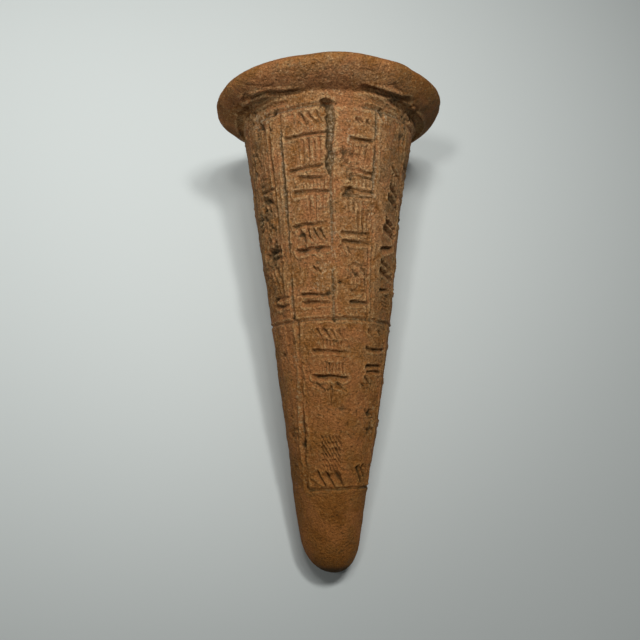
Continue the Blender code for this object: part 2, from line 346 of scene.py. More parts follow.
for k, ruling in enumerate(RULINGS):
    line = ruling_line(k)
    if k == SPLIT_RULING:
        dirt = np.maximum(dirt, 0.9 * rule(line, MIDDLE_LINE, TOP_LINE, 0.8, 0.34, dark=0.4))
        dirt = np.maximum(dirt, split_open(line, MIDDLE_LINE + 33, TOP_LINE + 0.5))
    elif k == LEFT_RULING:
        dirt = np.maximum(dirt, rule(line, MIDDLE_LINE + 17, TOP_LINE, 0.9, 0.55, dark=0.42))
        dirt = np.maximum(dirt, 0.6 * rule(line, MIDDLE_LINE, MIDDLE_LINE + 18, 0.8, 0.36, dark=0.25))
        dirt = np.maximum(dirt, 0.4 * rule(line, LOWER_LINE, MIDDLE_LINE, 1.2, 0.60, 1.4, dark=0.5))
        rule(line - 9.5, MIDDLE_LINE + 4, TOP_LINE - 3, 0.9, 0.45, dark=0.45)
    elif k == RIGHT_RULING:
        dirt = np.maximum(dirt, 0.8 * rule(line, MIDDLE_LINE + 24, TOP_LINE, 1.0, 0.65, dark=0.7))
        dirt = np.maximum(dirt, 0.4 * rule(line + 1.8, MIDDLE_LINE, MIDDLE_LINE + 25, 0.7, 0.42))
        rule(line - 2.0, MIDDLE_LINE, MIDDLE_LINE + 25, 0.7, 0.38)
    else:
        low = LOWER_LINE if ruling[4] else MIDDLE_LINE
        dirt = np.maximum(dirt, 0.8 * rule(line, low, TOP_LINE, 1.0, 0.55, dark=0.7))
print(len(RULINGS), "rulings, deepest", round(float(-cut.min()), 2), "mm")

# %% [markdown]
# ## Smooth ribs
# Beside two rulings the clay stands up in a smooth strip, as if the scribe's thumb had run along
# it. A strip is a band of angles beside its ruling, kept as a mask from 0 to 1, so it can raise
# the relief here and lighten the colour later.


# %% Ribs beside two of the rulings
def rib(k, left, right, low, high):
    """1 on a raised strip beside ruling k, between two angles from it."""
    off = turned(WOBBLY_TURN - ruling_line(k)[:, None])
    there = (ease(low, low + 2, STATION) * (1 - ease(high - 2, high, STATION)))[:, None]
    return ease(left, left + 1.6, off) * (1 - ease(right - 1.6, right, off)) * there


ribs = rib(LEFT_RULING, -8.6, -0.8, MIDDLE_LINE + 2, TOP_LINE)
ribs = np.maximum(ribs, rib(RIGHT_RULING, 1.2, 15.0, MIDDLE_LINE + 4, TOP_LINE))
ribs = np.maximum(ribs, rib(LEFT_RULING, -6.0, -0.8, LOWER_LINE, MIDDLE_LINE))
print("ribs on", round(float((ribs > 0.5).mean()) * 100, 1), "% of the grid")

# %% [markdown]
# ## Rings
# The scribe also scored rings round the shaft: one under the neck, one between the two panels and
# one below the text. They were drawn by hand, so each wavers a little. A flat bevelled groove
# would look turned on a wheel, and the same noise that moves the strokes moves these.


# %% Rings round the shaft
def score(station, wide, deep, here):
    """A ring at a station that may change with the angle, where here is 1."""
    off = WOBBLY_ARC - arc_at(station)
    inside = 1 - np.abs(off) / (wide * (0.5 + 0.2 * knuckle))
    depth = deep * np.clip(inside, 0, 1) ** 0.8 * here
    np.minimum(cut, -depth, out=cut)
    np.maximum(lip, 0.50 * deep * np.clip(1 - np.abs(inside + 0.6) / 0.6, 0, 1) * here, out=lip)
    # painted shade along the ring's groove
    line = 0.75 * np.clip(1 - np.abs(off) / 0.24, 0, 1) * here * np.clip(0.9 + crumb, 0, 1)
    np.maximum(nook_shade, line, out=nook_shade)
    return np.clip(inside + 0.2, 0, 1) * here


round_wave = np.sin(np.radians(TURN * 2 + 40))[None, :]
# the neck's ring almost fades out just right of the split ruling
neck_gap = 1 - ease(5, 0, np.abs(TURN - 12) - 6)[None, :] * 0.75
neck_here = neck_gap * (0.75 + 0.25 * knuckle)
dirt = np.maximum(dirt, score(TOP_LINE + 0.3 * round_wave, 1.3, 0.75, neck_here))
dirt = np.maximum(dirt, 0.6 * score(MIDDLE_LINE + 0.4 * round_wave, 0.9, 0.55, 0.8 + 0.2 * knuckle))
under_text = ease(-38, -34, TURN)[None, :] * (1 - ease(146, 150, TURN))[None, :]
dirt = np.maximum(dirt, 0.5 * score(LOWER_LINE + 0.2 * round_wave, 0.85, 0.45, under_text))
print("three rings scored, dirt on", round(float((dirt > 0.3).mean()) * 100, 1), "% of the grid")

# %% [markdown]
# ## Rows of strokes
# The strokes stand in rows, one below the other, between two rulings. They are rows of plain
# wedges: bars, combs of short uprights, slanting strokes and single dabs, and they don't spell
# anything. Each row says how far up its panel it stands, what it is made of, and how much of the
# column's width it takes. The side that lies down gets plainer rows from a short list.

# %% How each kind of row is pressed
chance = np.random.default_rng(11)
# the lower three quarters of the rings, which end just under the neck
shaft_rings = slice(0, len(STATION) * 3 // 4)


def ruling_at(k, s):
    """The angle of ruling k at one station."""
    return float(np.interp(s, STATION[shaft_rings], ruling_line(k)[shaft_rings]))


def place(k, low, height, up, across):
    """The (station, angle) at shares up and across column k of a panel."""
    s = low + height * up
    left = ruling_at(k, s)
    right = ruling_at(k + 1, s)
    return (s, left + (right - left) * across)


def some(value, spread=0.25):
    """The value, a little more or less by chance."""
    return value * (1 + spread * chance.uniform(-1, 1))


def bar(at, up, left, right, tilt=0.0, wide=1.45, deep=0.90):
    """One long level wedge."""
    press(at(up + tilt / 2, left), at(up - tilt / 2, right), some(wide), some(deep, 0.15), tail=0.75)


def comb(at, up, tall, left, right, count, lean=0.0, wide=0.80, deep=0.55):
    """Short uprights side by side."""
    for n in range(count):
        across = left + (right - left) * (n + 0.5) / count
        top, foot = up + some(tall / 2, 0.1), up - some(tall / 2, 0.15)
        press(at(top, across + lean / 2), at(foot, across - lean / 2), some(wide), some(deep), tail=0.5)


def slants(at, up, tall, left, right, count, wide=1.25, deep=0.75):
    """Slanting wedges, all leaning the same way."""
    step = (right - left) / count
    for n in range(count):
        a = left + step * n
        top, foot = at(up + tall / 2, a + step * 0.15), at(up - tall / 2, a + step * 0.85)
        press(top, foot, some(wide), some(deep), tail=0.4)


def dabs(at, up, tall, left, right, count, wide=1.2, deep=0.72):
    """Short separate dabs of the reed's corner."""
    for n in range(count):
        a = left + (right - left) * (n + chance.uniform(0.2, 0.8)) / count
        u = up + tall * chance.uniform(-0.5, 0.5)
        press(at(u, a), at(u - 0.012, a + 0.05), some(wide), some(deep), tail=0.6)


KINDS = {"bar": bar, "comb": comb, "slants": slants, "dabs": dabs}
print("four kinds of row:", ", ".join(KINDS))

# %% [markdown]
# The list below is the scribe's page. In the upper panel the heights run from 0 at the middle
# ring to 1 at the top ring. Rows bunch together in places and leave bare clay in others, as they
# do on the real cone. A list that is read from top to bottom is easier to set against the real
# thing than strokes modelled one by one.

# %% The rows on the upper panel
# after the kind come its height and its reach across the column, then what its function takes
UPPER_ROWS = {
    0: [
        ("dabs", 0.93, 0.06, 0.30, 0.80, 3),
        ("comb", 0.76, 0.16, 0.15, 0.75, 7),
        ("bar", 0.655, 0.20, 0.72),
        ("slants", 0.575, 0.06, 0.25, 0.75, 3),
        ("comb", 0.47, 0.10, 0.30, 0.75, 5),
        ("bar", 0.345, 0.20, 0.74),
        ("bar", 0.315, 0.35, 0.74),
        ("slants", 0.22, 0.07, 0.25, 0.75, 3),
        ("bar", 0.118, 0.40, 0.90),
        ("bar", 0.078, 0.40, 0.90),
    ],
    1: [
        ("slants", 0.945, 0.05, 0.42, 0.88, 3),
        ("bar", 0.875, 0.10, 0.93),
        ("comb", 0.785, 0.12, 0.42, 0.86, 4),
        ("bar", 0.722, 0.18, 0.82, -0.012),
        ("bar", 0.672, 0.36, 0.88),
        ("comb", 0.640, 0.034, 0.40, 0.90, 7),
        ("bar", 0.610, 0.24, 0.94),
        ("comb", 0.530, 0.12, 0.50, 0.90, 3),
        ("bar", 0.452, 0.20, 0.86, -0.006),
        ("slants", 0.400, 0.05, 0.30, 0.90, 4),
        ("bar", 0.335, 0.24, 0.94, -0.008, 1.8, 1.05),
        ("dabs", 0.25, 0.06, 0.50, 0.80, 2),
        ("bar", 0.122, 0.26, 0.86, 0.004, 1.35, 0.75),
        ("bar", 0.082, 0.32, 0.90, 0.0, 1.35, 0.80),
    ],
    2: [
        ("dabs", 0.93, 0.07, 0.45, 0.95, 4),
        ("bar", 0.855, 0.45, 0.92),
        ("comb", 0.79, 0.08, 0.40, 0.85, 3, 0.06),
        ("dabs", 0.735, 0.03, 0.30, 0.50, 2),
        ("bar", 0.706, 0.50, 0.97, 0.006),
        ("bar", 0.682, 0.45, 0.97, 0.006),
        ("comb", 0.650, 0.032, 0.50, 0.97, 5),
        ("bar", 0.618, 0.36, 0.98, 0.010),
        ("bar", 0.588, 0.30, 0.92, 0.008),
        ("comb", 0.540, 0.06, 0.35, 0.85, 4),
        ("comb", 0.470, 0.10, 0.60, 0.96, 3),
        ("bar", 0.415, 0.25, 0.96),
        ("bar", 0.372, 0.30, 0.96, 0.004),
        ("slants", 0.33, 0.03, 0.25, 0.50, 2),
        ("bar", 0.262, 0.52, 0.92, 0.0, 1.2, 0.70),
        ("dabs", 0.225, 0.06, 0.42, 0.92, 5),
        ("comb", 0.175, 0.05, 0.50, 0.92, 4),
        ("bar", 0.142, 0.48, 0.92, 0.0, 1.3, 0.80),
        ("bar", 0.090, 0.48, 0.90),
    ],
    3: [
        ("bar", 0.745, 0.60, 1.06, 0.055, 1.7, 1.20),
        ("comb", 0.690, 0.075, 0.56, 0.82, 2, 0.02, 1.1, 0.70),
        ("bar", 0.655, 0.58, 1.04, 0.045, 1.7, 1.20),
        ("bar", 0.605, 0.54, 1.04, 0.040, 1.9, 1.25),
        ("bar", 0.490, 0.50, 0.98, 0.038, 1.6, 1.20),
        ("bar", 0.450, 0.46, 0.95, 0.038, 1.8, 1.20),
        ("comb", 0.420, 0.050, 0.72, 0.96, 2, 0.02, 1.0, 0.60),
        ("bar", 0.372, 0.40, 0.86, -0.02, 1.6, 0.95),
        ("bar", 0.290, 0.38, 0.88, 0.034, 1.6, 1.20),
        ("bar", 0.245, 0.38, 0.90, 0.034, 1.8, 1.20),
        ("bar", 0.165, 0.36, 0.74, -0.01, 1.4, 0.85),
        *[("bar", 0.138 - 0.017 * n, 0.50, 0.80, 0.008, 0.8, 0.60) for n in range(5)],
    ],
    4: [
        ("comb", 0.90, 0.07, 0.15, 0.85, 6),
        ("bar", 0.82, 0.15, 0.85),
        ("slants", 0.70, 0.07, 0.15, 0.85, 4),
        ("bar", 0.55, 0.15, 0.85),
        ("comb", 0.48, 0.06, 0.15, 0.85, 6),
        ("slants", 0.30, 0.07, 0.15, 0.85, 4),
        ("bar", 0.18, 0.35, 0.85),
    ],
}
HIDDEN_ROWS = (
    ("bar", 0.88, 0.15, 0.85),
    ("comb", 0.80, 0.07, 0.20, 0.80, 5),
    ("slants", 0.64, 0.06, 0.15, 0.80, 3),
    ("bar", 0.50, 0.20, 0.85),
    ("comb", 0.43, 0.06, 0.20, 0.70, 4),
    ("slants", 0.27, 0.06, 0.20, 0.80, 3),
    ("bar", 0.14, 0.15, 0.80),
)


def write(rows, at):
    """Presses rows, where at gives the (station, angle) of shares up and across."""
    for kind, *numbers in rows:
        KINDS[kind](at, *numbers)


for k in range(len(RULINGS)):
    rows = UPPER_ROWS.get(k, [row for n, row in enumerate(HIDDEN_ROWS) if (n + k) % 3])
    write(rows, partial(place, k, MIDDLE_LINE, TOP_LINE - MIDDLE_LINE))
print("upper panel written, deepest cut", round(float(-cut.min()), 2), "mm")

# %% [markdown]
# The lower panel has wider columns, and the scribe wrote in narrow stacks down them. It is laid
# out by angle instead: each stack has a middle angle and a width in degrees, and its heights run
# from 0 at the lower ring to 1 at the middle ring.

# %% The rows on the lower panel
# each stack: its middle angle, its width in degrees and its rows
LOWER_STACKS = (
    (
        -0.5,
        39.0,
        [
            ("slants", 0.915, 0.05, 0.15, 0.85, 4, 1.1, 0.65),
            ("comb", 0.855, 0.035, 0.25, 0.80, 6),
            ("bar", 0.815, 0.08, 0.94),
            ("comb", 0.715, 0.055, 0.22, 0.86, 7),
            ("bar", 0.665, 0.04, 0.92),
            ("slants", 0.605, 0.035, 0.05, 0.35, 1),
            ("slants", 0.605, 0.035, 0.62, 0.95, 1),
            ("comb", 0.545, 0.13, 0.45, 0.55, 1),
            *[("slants", 0.300 - 0.035 * n, 0.029, 0.20, 0.84, 6, 0.72, 0.62) for n in range(6)],
            ("slants", 0.060, 0.060, 0.00, 0.96, 3, 2.3, 1.1),
        ],
    ),
    (
        52.0,
        34.0,
        [
            ("slants", 0.915, 0.07, 0.10, 0.90, 2),
            ("bar", 0.835, 0.10, 0.90),
            ("bar", 0.735, 0.15, 0.75),
            ("bar", 0.700, 0.15, 0.75),
            ("slants", 0.655, 0.04, 0.10, 0.50, 2),
            ("comb", 0.600, 0.06, 0.30, 0.85, 3),
            ("slants", 0.440, 0.05, 0.20, 0.80, 2),
            ("slants", 0.090, 0.08, 0.05, 0.80, 3, 1.6, 0.95),
        ],
    ),
    (
        108.0,
        44.0,
        [
            ("bar", 0.88, 0.1, 0.9),
            ("comb", 0.80, 0.06, 0.2, 0.8, 5),
            ("slants", 0.62, 0.06, 0.1, 0.9, 3),
            ("bar", 0.40, 0.2, 0.8),
            ("comb", 0.30, 0.06, 0.2, 0.8, 4),
        ],
    ),
)


def stack_place(middle, width, up, across):
    """The (station, angle) at shares up and across a stack of the lower panel."""
    return (LOWER_LINE + (MIDDLE_LINE - LOWER_LINE) * up, middle + width * (across - 0.5))


for middle, width, rows in LOWER_STACKS:
    write(rows, partial(stack_place, middle, width))
print("lower panel written in", len(LOWER_STACKS), "stacks")

# %% [markdown]
# ## Finger marks under the head
# The potter folded the rim out with thumb and fingers, and the folds never quite closed. Deep
# creases run under the rim, left and right of a smooth stretch at the top, with fainter ones
# beside them and shallow ones round the back. They are cut into the same grid, by arc length
# instead of station, because the underside of the rim turns away from the axis.

# %% Creases
crease_arc = float(np.interp(CREASE, outline_s, outline_arc))


def fold(off_arc, first, last, wide, deep, climb=0.0, fade=8.0):
    """A crease round the neck at a distance from the fold line, between two angles."""
    wave = 0.5 * np.sin(np.radians(TURN * 5))[None, :]
    wave = wave + climb * np.clip((np.abs(TURN) - 14) / 40, 0, 1.2)[None, :]
    off = WOBBLY_ARC + 0.25 * knuckle - (crease_arc + off_arc + wave)
    here = (ease(first, first + fade, TURN) * (1 - ease(last - fade, last, TURN)))[None, :]
    inside = np.clip(1 - np.abs(off) / (wide * (1 + 0.4 * crumb)), 0, 1)
    np.minimum(cut, -deep * inside**0.8 * here, out=cut)
    # painted shade along the crease
    line = np.clip(1 - np.abs(off) / (0.30 * wide), 0, 1) * np.clip(0.8 + 0.6 * crumb, 0, 1)
    np.maximum(nook_shade, line * here * min(deep, 1), out=nook_shade)
    for side in (-1.2, 1.1):
        flap = np.clip(1 - np.abs((off - wide * side) / (wide * 0.8)), 0, 1)
        np.maximum(lip, 0.75 * deep * flap * np.clip(0.7 + knuckle, 0, 1.4) * here, out=lip)
    return inside * here


# each fold: millimetres past the fold line, first and last angle, width, depth, climb
FOLDS = (
    (0.3, -58, -14, 0.9, 0.70, 2.6),
    (0.2, 14, 56, 1.0, 0.90, 2.4),
    (0.2, -130, -36, 1.3, 0.75, 0.0),
    (0.0, 36, 130, 1.3, 0.75, 0.0),
    (-1.4, -62, -24, 0.7, 0.45, -0.4),
    (-1.5, 20, 66, 0.7, 0.45, -0.4),
    (-0.6, 125, 180, 1.2, 0.40, 0.0),
    (-0.6, -180, -125, 1.2, 0.40, 0.0),
)
shade = np.zeros_like(cut)
for numbers in FOLDS:
    shade = np.maximum(shade, fold(*numbers))
# the creases also take the dirt's colour, partly as painted shade in them
dirt = np.maximum(dirt, 0.35 * shade)
print(len(FOLDS), "folds under the rim")

# %% [markdown]
# ## Cracks, nicks and battered places
# Old clay is scarred. Where it was knocked, many short nicks cross each other, and hair cracks run
# along the rim. One short groove at a chance angle is the same thing a few hundred times over, so
# a loop cuts them all: in the battered places first, then along the rim, then over the shaft.

# %% Where the cone is battered
# battered places: station, angle, size in mm, how badly
BATTERED = (
    (92.5, -55.0, 7.0, 1.2),
    (88.0, -64.0, 8.0, 1.0),
    (79.8, -55.0, 5.0, 1.1),
    (72.0, -70.0, 8.0, 1.0),
    (68.0, -52.0, 4.0, 0.8),
    (101.0, -62.0, 8.0, 0.9),
    (97.0, -57.0, 5.0, 0.8),
    (84.0, -57.0, 5.0, 0.9),
    (75.5, -56.0, 5.0, 0.9),
    (66.0, -60.0, 5.0, 0.8),
    (106.5, -60.0, 4.0, 0.9),
    (108.0, 58.0, 5.0, 0.8),
    (110.5, -52.0, 4.5, 1.0),
    (100.0, 14.0, 5.0, 1.0),
    (97.0, 15.5, 4.0, 1.1),
    (92.6, 14.5, 5.0, 1.2),
    (91.0, 18.0, 4.0, 0.8),
    (108.5, 22.0, 4.0, 0.6),
    (71.5, 21.0, 6.0, 0.8),
    (95.0, 62.0, 6.0, 0.40),
    (75.0, 62.0, 6.0, 0.35),
    (80.5, -18.0, 5.5, 0.50),
    (77.0, -8.0, 4.0, 0.7),
    (68.0, -6.0, 4.0, 0.5),
    (39.6, 51.0, 4.0, 0.8),
    (114.0, -62.0, 9.0, 0.8),
    (114.0, 62.0, 9.0, 0.8),
    (56.0, -40.0, 6.0, 0.6),
    (34.0, -42.0, 6.0, 0.5),
    (46.0, -16.0, 8.0, 0.60),
    (42.0, 10.0, 7.0, 0.60),
    (36.0, -28.0, 6.0, 0.60),
    (51.0, -25.0, 6.0, 0.60),
    (35.0, 56.0, 4.0, 0.90),
    (41.0, 36.0, 6.0, 0.5),
    (52.0, -60.0, 8.0, 0.6),
)
print(len(BATTERED), "battered places")

# %% [markdown]
# A nick is a short groove without a raised side: nothing was pressed, the clay only broke. It is
# cut in its own small window of the grid, as a stroke is.


# %% Cracks on the rim and nicks on the shaft
def scratch(arc, angle, long, lean, wide, deep):
    """A nick or crack: its middle, its length, its lean from the level in degrees, its size."""
    spot, r = window(arc, angle, long / 2 + wide)
    from_s = WOBBLY_ARC[spot] - arc
    from_a = np.radians(turned(WOBBLY_TURN[spot] - angle)) * r
    c, s = math.cos(math.radians(lean)), math.sin(math.radians(lean))
    along, off = from_a * c + from_s * s, from_s * c - from_a * s
    inside = np.clip(1 - np.hypot(off / (wide / 2), along / (long / 2)), 0, 1)
    cut[spot] = np.minimum(cut[spot], -deep * inside**0.6)
    darken(spot, off, wide, np.clip(inside * 2, 0, 1) * min(deep / 0.5, 1))


for s, angle, size, badly in BATTERED:
    for n in range(int(2.2 * size * badly)):
        arc = arc_at(s) + 0.35 * size * chance.uniform(-1, 1)
        r = float(np.interp(arc, ARC, RADIUS))
        aside = angle + math.degrees(0.35 * size * chance.uniform(-1, 1) / r)
        long, lean = some(1.8, 0.5), chance.uniform(-90, 90)
        scratch(arc, aside, long, lean, some(0.6, 0.4), some(0.45, 0.5) * badly)
RIM_CRACKS, SHAFT_NICKS = 90, 420
for n in range(RIM_CRACKS):
    arc = chance.uniform(crease_arc + 0.5, rim_arc + 12)
    angle = chance.uniform(-180, 180)
    long = some(3.0, 0.6)
    # the first draw always comes to nothing, and is kept so that the later ones stay the same
    lean = some(0, 1) + chance.uniform(-35, 35)
    scratch(arc, angle, long, lean, 0.5, some(0.28, 0.5))
for n in range(SHAFT_NICKS):
    lean = chance.choice([0, 90]) + chance.uniform(-25, 25)
    angle = chance.uniform(-110, 110) if n % 4 else chance.uniform(110, 250)
    arc = arc_at(chance.uniform(LOWER_LINE + 2, TOP_LINE))
    scratch(arc, angle, some(1.9, 0.5), lean, some(0.5, 0.4), some(0.26, 0.5))
print("nicks in the battered places,", RIM_CRACKS, "rim cracks and", SHAFT_NICKS, "nicks cut")

# %% [markdown]
# ## Wear
# Burial and handling rounded every edge, so the carving is softened a little first. Then come
# the losses: pits where grains fell out, a few deeper chips, and a rough skin between them. The
# point stayed smoother than the written part.


# %% Soften the carving
def soften(field, rings, columns):
    """A soft blur, done with sines and cosines, over so many rings and columns."""
    n, m = field.shape
    fr = np.fft.fftfreq(n)[:, None]
    fc = np.fft.rfftfreq(m)[None, :]
    keep = np.exp(-2 * math.pi**2 * ((rings * fr) ** 2 + (columns * fc) ** 2))
    return np.fft.irfft2(np.fft.rfft2(field) * keep, s=field.shape).astype(np.float32)


relief = 0.22 * ribs * np.clip(0.8 + knuckle, 0, 1.3)
on_head = ease(CREASE - 1, CREASE + 1, STATION)[:, None]
relief += cut + np.minimum(lip, 0.30 + 0.25 * on_head) * np.clip(1 + cut / 0.15, 0, 1)
relief = soften(relief, 0.7, 0.7)
print("after softening the deepest cut is", round(float(-relief.min()), 2), "mm")

# %% [markdown]
# The rough skin is a sum of the noises, coarse on the head and fine on the shaft. It is rougher
# on the written part and plainer on the side that lies down. A ledge under the head was pressed
# in by a finger run round the neck.

# %% Roughen the skin
written = ease(LOWER_LINE - 3, LOWER_LINE + 1, STATION)[:, None]
rough = (0.35 + 0.65 * written) * (1 - 0.35 * on_head)
relief += (0.10 + 0.16 * on_head) * palm + (0.09 + 0.13 * on_head) * knuckle
in_view = 1 - 0.6 * ease(85, 115, np.abs(TURN))[None, :]
in_view = in_view * (1 - 0.5 * ease(RIM, RIM + 1, STATION)[:, None])
relief += rough * in_view * (0.11 * crumb + 0.09 * grit + 0.03 * sand)

ledge = ease(TOP_LINE - 0.2, TOP_LINE + 0.4, STATION) * (1 - ease(TOP_LINE + 1.5, CREASE, STATION))
relief -= 0.35 * ledge[:, None] * np.clip(0.8 + 0.6 * knuckle, 0, 1.4)
print("roughened, from", round(float(relief.min()), 2), "to", round(float(relief.max()), 2), "mm")

# %% [markdown]
# Battered places lose their skin: where the noise runs high the surface drops in small flakes.
# The left margin, beside the first column, was dragged by a hand and kept its long streaks.

# %% Wear the battered places
battered = np.zeros_like(relief)
for s, angle, size, badly in BATTERED:
    off_a = np.radians(turned(TURN - angle))[None, :] * RADIUS[:, None]
    away = np.hypot(ARC[:, None] - arc_at(s), off_a) / size + 0.35 * knuckle
    battered = np.maximum(battered, badly * (1 - ease(0.25, 0.75, away)))
loss = np.clip(0.55 * grit + 0.45 * crumb + 0.3 * sand + 0.55 * battered - 0.42, 0, 1)
relief -= 1.10 * loss * written * (0.35 + 0.65 * battered)
# painted shade in the lost flakes of the battered places
nook_shade = np.maximum(nook_shade, np.clip(1.8 * loss * battered - 0.2, 0, 0.6))
left_margin = ease(30, 40, -TURN)[None, :] * ease(85, 95, TURN + 180)[None, :]
relief += drag * (0.05 + 0.12 * left_margin) * written * (1 - on_head) * in_view
dirt = np.maximum(dirt, np.clip(0.45 * battered * (0.5 + 0.9 * crumb), 0, 1))
print("battered on", round(float((battered > 0.3).mean()) * 100, 1), "% of the grid")

# %% [markdown]
# Pits are small round losses. Most are grains that fell out and lie anywhere, so chance places
# them. A few are deep enough to be seen on the real cone, and those are named one by one.


# %% Pits
def pit(s, angle, across, deep, long=1.0):
    """A lost grain or chip at a place on the shaft."""
    spot, r = window(float(arc_at(s)), angle, across * max(long, 1.0) * 1.3)
    off_s = (WOBBLY_ARC[spot] - arc_at(s)) / long
    off_a = np.radians(turned(WOBBLY_TURN[spot] - angle)) * r
    inside = np.clip(1 - np.hypot(off_s, off_a) / (across / 2) + 0.25 * grit[spot], 0, 1)
    relief[spot] -= deep * inside**0.7
    return spot, inside


SCATTERED_PITS = 420
for n in range(SCATTERED_PITS):
    s = chance.uniform(LOWER_LINE * 0.5, CREASE)
    pit(s, chance.uniform(-180, 180), some(0.8, 0.5), some(0.22, 0.6))
# each pit: station, angle, width and depth in mm, and how much longer than wide
NAMED_PITS = (
    (TOP_LINE + 0.5, -2.5, 3.4, 2.6, 0.6),
    (TOP_LINE + 0.1, -38.5, 2.2, 1.2, 0.7),
    (TOP_LINE - 0.5, 34.0, 2.2, 1.0, 1.3),
    (TOP_LINE - 1.8, -50.5, 2.0, 0.9, 0.8),
    (39.6, 51.0, 1.9, 0.9, 1.2),
    (36.6, 55.0, 1.2, 0.6, 2.0),
    (46.8, 36.0, 1.1, 0.7, 0.6),
    (26.0, 38.0, 1.2, 0.7, 1.6),
    (71.2, 8.5, 1.3, 0.7, 0.6),
    (32.4, -36.5, 1.1, 0.6, 2.0),
    (92.6, -53.0, 2.2, 0.8, 0.8),
    (91.0, -60.0, 1.8, 0.8, 1.2),
    (96.0, -78.0, 2.4, 0.7, 1.6),
    (71.0, -74.0, 3.2, 0.9, 1.4),
    (80.0, -58.0, 2.6, 0.7, 0.8),
    (68.6, -1.5, 2.0, 0.4, 0.8),
    (82.5, -22.0, 2.6, 0.35, 0.6),
    (63.0, -36.0, 1.4, 0.6, 1.0),
    (62.0, 3.0, 1.2, 0.5, 1.0),
    (90.5, -52.0, 1.4, 0.5, 1.5),
)
for numbers in NAMED_PITS:
    spot, inside = pit(*numbers)
    dirt[spot] = np.maximum(dirt[spot], 0.7 * inside)
    # painted shade in the named pits
    nook_shade[spot] = np.maximum(nook_shade[spot], np.clip(1.6 * inside - 0.2, 0, 1))
print("relief runs from", round(float(relief.min()), 2), "to", round(float(relief.max()), 2), "mm")

# %% [markdown]
# ## From relief to a mesh
# The relief is added along the outline's own normal, so it stands square to the shaft, the
# underside of the rim and the crown alike. The whole cone sways a little and its rim waves, in
# the same way as in the solid. Then it is tipped to lie on its rim and point, and whatever would
# be under the floor is pressed up to it: those are the two small worn flats.

# %% How the cone sways and its rim waves
LENGTH_OF_SHAFT = TOP_LINE - LOWER_LINE
SWAY, POINT_LEAN, LUMPS = 0.40, 0.90, 0.24
WAVES, PEAK, HEAD_LEAN = 0.42, 0.80, 0.60


def sideways(s):
    """How far the axis sways to the right at a station."""
    along = s / LENGTH_OF_SHAFT
    sway = np.where(along > 0.1, np.sin(2 * math.pi * (along - 0.1) / 1.3), 0.0)
    settle = np.clip(1 - np.clip(s - TOP_LINE, 0, None) / (CREASE - TOP_LINE), 0, 1)
    return SWAY * sway * settle + POINT_LEAN * np.clip(1 - s / POINT_ROUNDING, 0, 1) ** 2


along = (STATION / LENGTH_OF_SHAFT)[:, None]
lumps = (
    0.9 * np.sin(2 * turn_grid + 5.1 * along + 0.6)
    + 0.6 * np.sin(3 * turn_grid - 7.3 * along + 2.1)
    + 0.4 * np.sin(5 * turn_grid + 16.0 * along)
)
fade_in = np.clip(STATION / POINT_ROUNDING, 0, 1)[:, None]
lumps = LUMPS * lumps * fade_in * (1 - ease(TOP_LINE, CREASE + 1, STATION))[:, None]
waves = WAVES * (
    0.25 * np.sin(3 * turn_grid + 0.4) + 0.2 * np.sin(7 * turn_grid) - np.sin(2 * turn_grid + 0.36)
) + PEAK * np.exp(-((np.degrees(turn_grid) / 17.0) ** 2))
over_roll = (RADIUS - NECK_RADIUS) / (HEAD_RADIUS - NECK_RADIUS)
out = np.where(STATION < RIM, over_roll, RADIUS / HEAD_RADIUS)
waves = waves * np.where(STATION > CREASE, np.clip(out, 0, 1), 0)[:, None]
lean = HEAD_LEAN * np.sin(turn_grid) * (RADIUS / HEAD_RADIUS * ease(CREASE, RIM, STATION))[:, None]
print("the rim's waves run from", round(float(waves.min()), 2), "to", round(float(waves.max()), 2), "mm")

# %% [markdown]
# Now every place of the grid gets its three coordinates. First the cone stands along its own
# axis, and then it is tipped and moved as one.

# %% Place every point of the grid
radius = RADIUS[:, None] + lumps + waves + relief * OUT_R[:, None]
points = np.stack(
    [
        radius * np.sin(turn_grid) + sideways(STATION)[:, None],
        STATION[:, None] + lean + relief * OUT_S[:, None],
        radius * np.cos(turn_grid),
    ],
    axis=-1,
)
# the tilt that lays the cone on its rim and point, and the move that centres it, as in the solid
LIE = math.radians(11.0573)
MOVE = np.array([0.1728, -63.5049, 5.4966])
METRES_PER_MM, MM_PER_METRE = 0.001, 1000


def laid_down(p):
    """Tips the cone onto its rim and point, and moves it over the row's origin, in metres."""
    y = p[..., 1] * math.cos(LIE) - p[..., 2] * math.sin(LIE)
    z = p[..., 1] * math.sin(LIE) + p[..., 2] * math.cos(LIE)
    q = np.stack([p[..., 0], y, z], axis=-1) + MOVE
    q[..., 2] = np.maximum(q[..., 2], 0.0)
    return q * METRES_PER_MM


skin = laid_down(points).reshape(-1, 3)
poles = laid_down(np.array([[sideways(0.0), 0.0, 0.0], [0.0, CROWN, 0.0]], float))
print("the skin reaches from", skin.min(0).round(4), "to", skin.max(0).round(4))

# %% [markdown]
# ## Faces
# A mesh needs to know which corners make a face. Neighbouring rings are joined by quads, and a
# fan of triangles closes each end. So many quads made one at a time would take minutes, so the
# lists of corners are worked out whole and handed to Blender with foreach_set.


# %% Join the points into faces
def grid_faces(rings, columns):
    """Quads between neighbouring rings, and a fan of triangles at each end, as corner lists."""
    i = np.arange(rings - 1)[:, None] * columns
    j = np.arange(columns)[None, :]
    nxt = (j + 1) % columns
    quads = np.stack([i + j, i + columns + j, i + columns + nxt, i + nxt], -1).reshape(-1, 4)
    last = (rings - 1) * columns
    ring = np.arange(columns)
    after = (ring + 1) % columns
    point_fan = np.stack([np.full(columns, rings * columns), ring, after], -1)
    crown_fan = np.stack([np.full(columns, rings * columns + 1), last + after, last + ring], -1)
    return quads, np.concatenate([point_fan, crown_fan])


